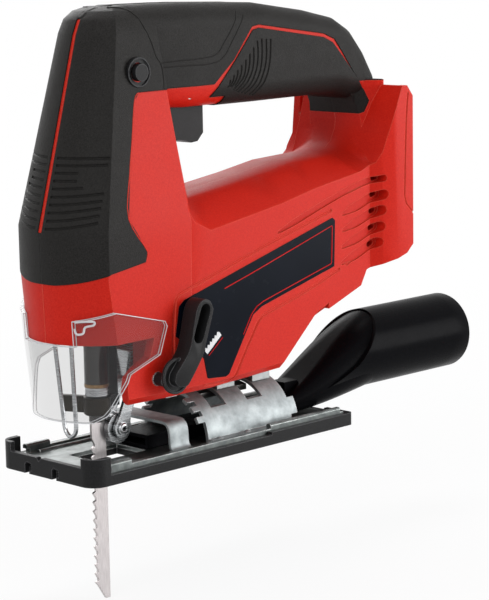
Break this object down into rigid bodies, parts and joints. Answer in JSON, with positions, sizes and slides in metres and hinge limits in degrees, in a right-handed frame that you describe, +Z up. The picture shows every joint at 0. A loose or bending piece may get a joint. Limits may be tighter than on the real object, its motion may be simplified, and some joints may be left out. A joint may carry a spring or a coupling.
{
  "type": "jigsaw power tool",
  "caption": "Cordless top-handle jigsaw with tilting shoe, orbital roller guide, keyless blade clamp, clear chip guard and rear dust port.",
  "frame": {"origin": "on the underside of the shoe, on the centre line of the saw blade", "axes": "-X is the cutting direction, +X points back to the battery foot, -Y is the left side of the tool, +Z is up along the plunger"},
  "size_m": [0.261, 0.074, 0.257],
  "materials": {
    "black plastic": "fine spark texture",
    "red shell plastic": "satin moulded",
    "soft grip": "matt moulded rubber",
    "label film": "dark glossy film",
    "clear plastic": "clear polycarbonate",
    "bright steel": "bright zinc plated",
    "dark steel": "blackened",
    "blade steel": "ground",
    "zinc sheet": "galvanised sheet",
    "chrome": "polished",
    "bronze": "sintered bronze",
    "copper": "enamelled copper wire",
    "board": "solder resist",
    "magnet": "matt",
    "die cast": "as cast"
  },
  "bodies": {
    "housing": {"housing_left": "red shell plastic", "housing_right": "red shell plastic", "front_grip_left": "soft grip", "front_grip_right": "soft grip", "rear_pad_left": "soft grip", "rear_pad_right": "soft grip", "label_plate": "label film", "housing_screws": "dark steel", "bevel_saddle": "die cast", "bevel_clamp": "dark steel", "bevel_screws": "dark steel", "wire_guard": "dark steel", "fork_pin": "bright steel", "trigger_pin": "bright steel", "trigger_spring": "bright steel", "switch_body": "black plastic", "control_board": "board", "terminal_block": "black plastic", "battery_contacts": "bronze", "motor_can": "zinc sheet", "field_magnets": "magnet", "motor_bearings": "bright steel", "brush_holders": "bronze", "gearbox_plate": "die cast", "gear_axle": "bright steel"},
    "rotor": {"rotor_shaft": "bright steel", "rotor_core": "dark steel", "rotor_windings": "copper", "commutator": "copper", "cooling_fan": "black plastic", "motor_pinion": "bright steel"},
    "crank_gear": {"drive_gear": "bright steel", "crank_pin": "bright steel", "crank_roller": "bright steel"},
    "plunger_guide": {"plunger_guide": "die cast", "lower_bush": "bronze", "upper_bush": "bronze"},
    "plunger": {"plunger_rod": "bright steel", "clamp_body": "chrome", "clamp_ring": "bronze", "saw_blade": "blade steel"},
    "clamp_release": {"clamp_collar": "bright steel", "release_lever": "black plastic"},
    "pendulum_fork": {"pendulum_fork": "dark steel", "roller_axle": "bright steel"},
    "guide_roller": {"guide_roller": "bright steel"},
    "orbit_selector": {"selector_lever": "black plastic", "selector_shaft": "bright steel"},
    "trigger": {"trigger": "black plastic"},
    "lock_button": {"lock_button": "black plastic"},
    "clear_guard": {"clear_guard": "clear plastic"},
    "shoe": {"overshoe": "black plastic", "shoe_plate": "zinc sheet", "bevel_bracket": "zinc sheet", "bridge_strap": "zinc sheet"},
    "dust_port": {"dust_duct": "black plastic", "hose_tube": "black plastic"}
  },
  "joints": [
    {"name": "motor_spin", "type": "hinge", "parent": "housing", "child": "rotor", "pos_m": [0.05, 0, 0.078], "axis": [1, 0, 0], "range_deg": [0, 900]},
    {"name": "gear_spin", "type": "hinge", "parent": "housing", "child": "crank_gear", "pos_m": [0.02, 0, 0.105], "axis": [1, 0, 0], "range_deg": [-180, 0]},
    {"name": "guide_swing", "type": "hinge", "parent": "housing", "child": "plunger_guide", "pos_m": [0, 0, 0.131], "axis": [0, 1, 0], "range_deg": [0, 0.75]},
    {"name": "plunger_stroke", "type": "slide", "parent": "plunger_guide", "child": "plunger", "axis": [0, 0, 1], "range_m": [0, 0.02]},
    {"name": "clamp_twist", "type": "hinge", "parent": "plunger", "child": "clamp_release", "pos_m": [0, 0, 0.0265], "axis": [0, 0, -1], "range_deg": [0, 40], "stiffness_Nm_per_rad": 0.02},
    {"name": "fork_swing", "type": "hinge", "parent": "housing", "child": "pendulum_fork", "pos_m": [0.02, 0, 0.046], "axis": [0, 1, 0], "range_deg": [0, 2.9]},
    {"name": "roller_spin", "type": "hinge", "parent": "pendulum_fork", "child": "guide_roller", "pos_m": [0.00935, 0, 0.0154], "axis": [0, 1, 0], "continuous": true},
    {"name": "selector_turn", "type": "hinge", "parent": "housing", "child": "orbit_selector", "pos_m": [0.0095, -0.035, 0.0404], "axis": [0, 1, 0], "range_deg": [0, 75]},
    {"name": "trigger_press", "type": "hinge", "parent": "housing", "child": "trigger", "pos_m": [0.0435, 0, 0.1575], "axis": [0, -1, 0], "range_deg": [0, 10], "stiffness_Nm_per_rad": 0.3},
    {"name": "lock_press", "type": "slide", "parent": "housing", "child": "lock_button", "axis": [0, 1, 0], "range_m": [0, 0.0025], "stiffness_N_per_m": 300},
    {"name": "guard_slide", "type": "slide", "parent": "housing", "child": "clear_guard", "axis": [-1, 0, 0], "range_m": [0, 0.045]},
    {"name": "shoe_bevel", "type": "hinge", "parent": "housing", "child": "shoe", "pos_m": [0.07, 0, 0.005], "axis": [1, 0, 0], "range_deg": [-24, 24]},
    {"name": "dust_port_slide", "type": "slide", "parent": "shoe", "child": "dust_port", "axis": [1, 0, 0], "range_m": [0, 0.05]}
  ],
  "couplings": [
    {"joint": "gear_spin", "follows": "motor_spin", "ratio": -0.2},
    {"joint": "plunger_stroke", "follows": "motor_spin", "m_per_rad": 0.0012732},
    {"joint": "fork_swing", "follows": "guide_swing", "ratio": 3.778}
  ]
}
